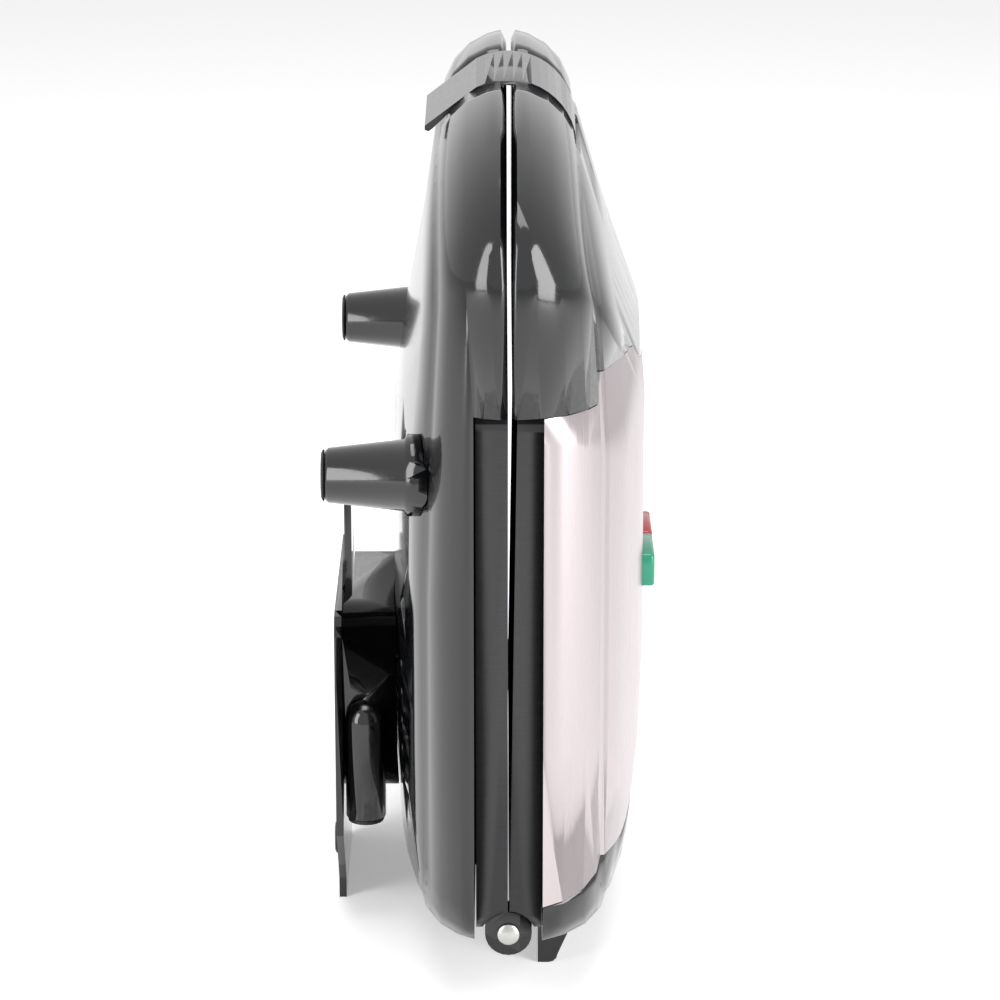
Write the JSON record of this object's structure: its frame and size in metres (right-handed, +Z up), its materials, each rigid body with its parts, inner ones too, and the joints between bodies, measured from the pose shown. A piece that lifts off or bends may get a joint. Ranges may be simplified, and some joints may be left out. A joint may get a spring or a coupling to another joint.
{
  "type": "sandwich maker",
  "caption": "Upright, latched sandwich toaster: black plastic base and lid, steel lid skin, hinged cast plates with triangular pockets, handle clip, legs and cord wrap.",
  "frame": {"origin": "on the standing surface, under the middle of the object's box, with the object stored upright on its hinge end", "axes": "+Z up, towards the handle; +X out of the lid's steel face, -X out of the base's underside; Y along the hinge"},
  "size_m": [0.0928, 0.224, 0.2439],
  "materials": {
    "gloss_black_plastic": "gloss moulded",
    "nonstick_cast_aluminium": "black non-stick coated",
    "brushed_stainless_steel": "satin brushed",
    "aluminised_sheet": "bright rolled sheet",
    "black_rubber": "matt",
    "zinc_plated_steel": "zinc plated",
    "element_sheath": "heat-darkened",
    "red_lens": "translucent red",
    "green_lens": "translucent green",
    "lamp_glass": "clear",
    "white_ceramic": "ceramic, matt",
    "glass_fibre_sleeve": "woven glass sleeve"
  },
  "bodies": {
    "base": {"base_housing": "gloss_black_plastic", "lower_cooking_plate": "nonstick_cast_aluminium", "lower_heating_element": "element_sheath", "lower_heat_reflector": "aluminised_sheet", "hinge_pin_near": "zinc_plated_steel", "hinge_pin_far": "zinc_plated_steel", "base_screw_1": "zinc_plated_steel", "base_screw_2": "zinc_plated_steel", "base_screw_3": "zinc_plated_steel", "base_screw_4": "zinc_plated_steel", "front_leg_near": "gloss_black_plastic", "front_leg_far": "gloss_black_plastic", "leg_tip_near": "black_rubber", "leg_tip_far": "black_rubber", "cord_wrap": "gloss_black_plastic", "cord_gland": "black_rubber", "wrap_pad_near": "black_rubber", "wrap_pad_far": "black_rubber", "thermal_fuse": "zinc_plated_steel", "terminal_block": "white_ceramic", "element_lead_near": "glass_fibre_sleeve", "element_lead_far": "glass_fibre_sleeve"},
    "lid": {"lid_housing": "gloss_black_plastic", "steel_skin": "brushed_stainless_steel", "upper_cooking_plate": "nonstick_cast_aluminium", "upper_heating_element": "element_sheath", "upper_heat_reflector": "aluminised_sheet", "lid_screw_1": "zinc_plated_steel", "lid_screw_2": "zinc_plated_steel", "lid_screw_3": "zinc_plated_steel", "lid_screw_4": "zinc_plated_steel", "latch_pin": "zinc_plated_steel", "lens_near": "green_lens", "lens_far": "red_lens", "lamp_near": "lamp_glass", "lamp_far": "lamp_glass", "lamp_holder": "white_ceramic", "thermostat": "white_ceramic"},
    "latch": {"latch_clip": "gloss_black_plastic"}
  },
  "joints": [
    {"name": "lid_hinge", "type": "hinge", "parent": "base", "child": "lid", "pos_m": [0.0042, 0, 0.0249], "axis": [0, 1, 0], "range_deg": [0, 100]},
    {"name": "latch_pivot", "type": "hinge", "parent": "lid", "child": "latch", "pos_m": [0.0207, 0, 0.2262], "axis": [0, 1, 0], "range_deg": [0, 95]}
  ]
}
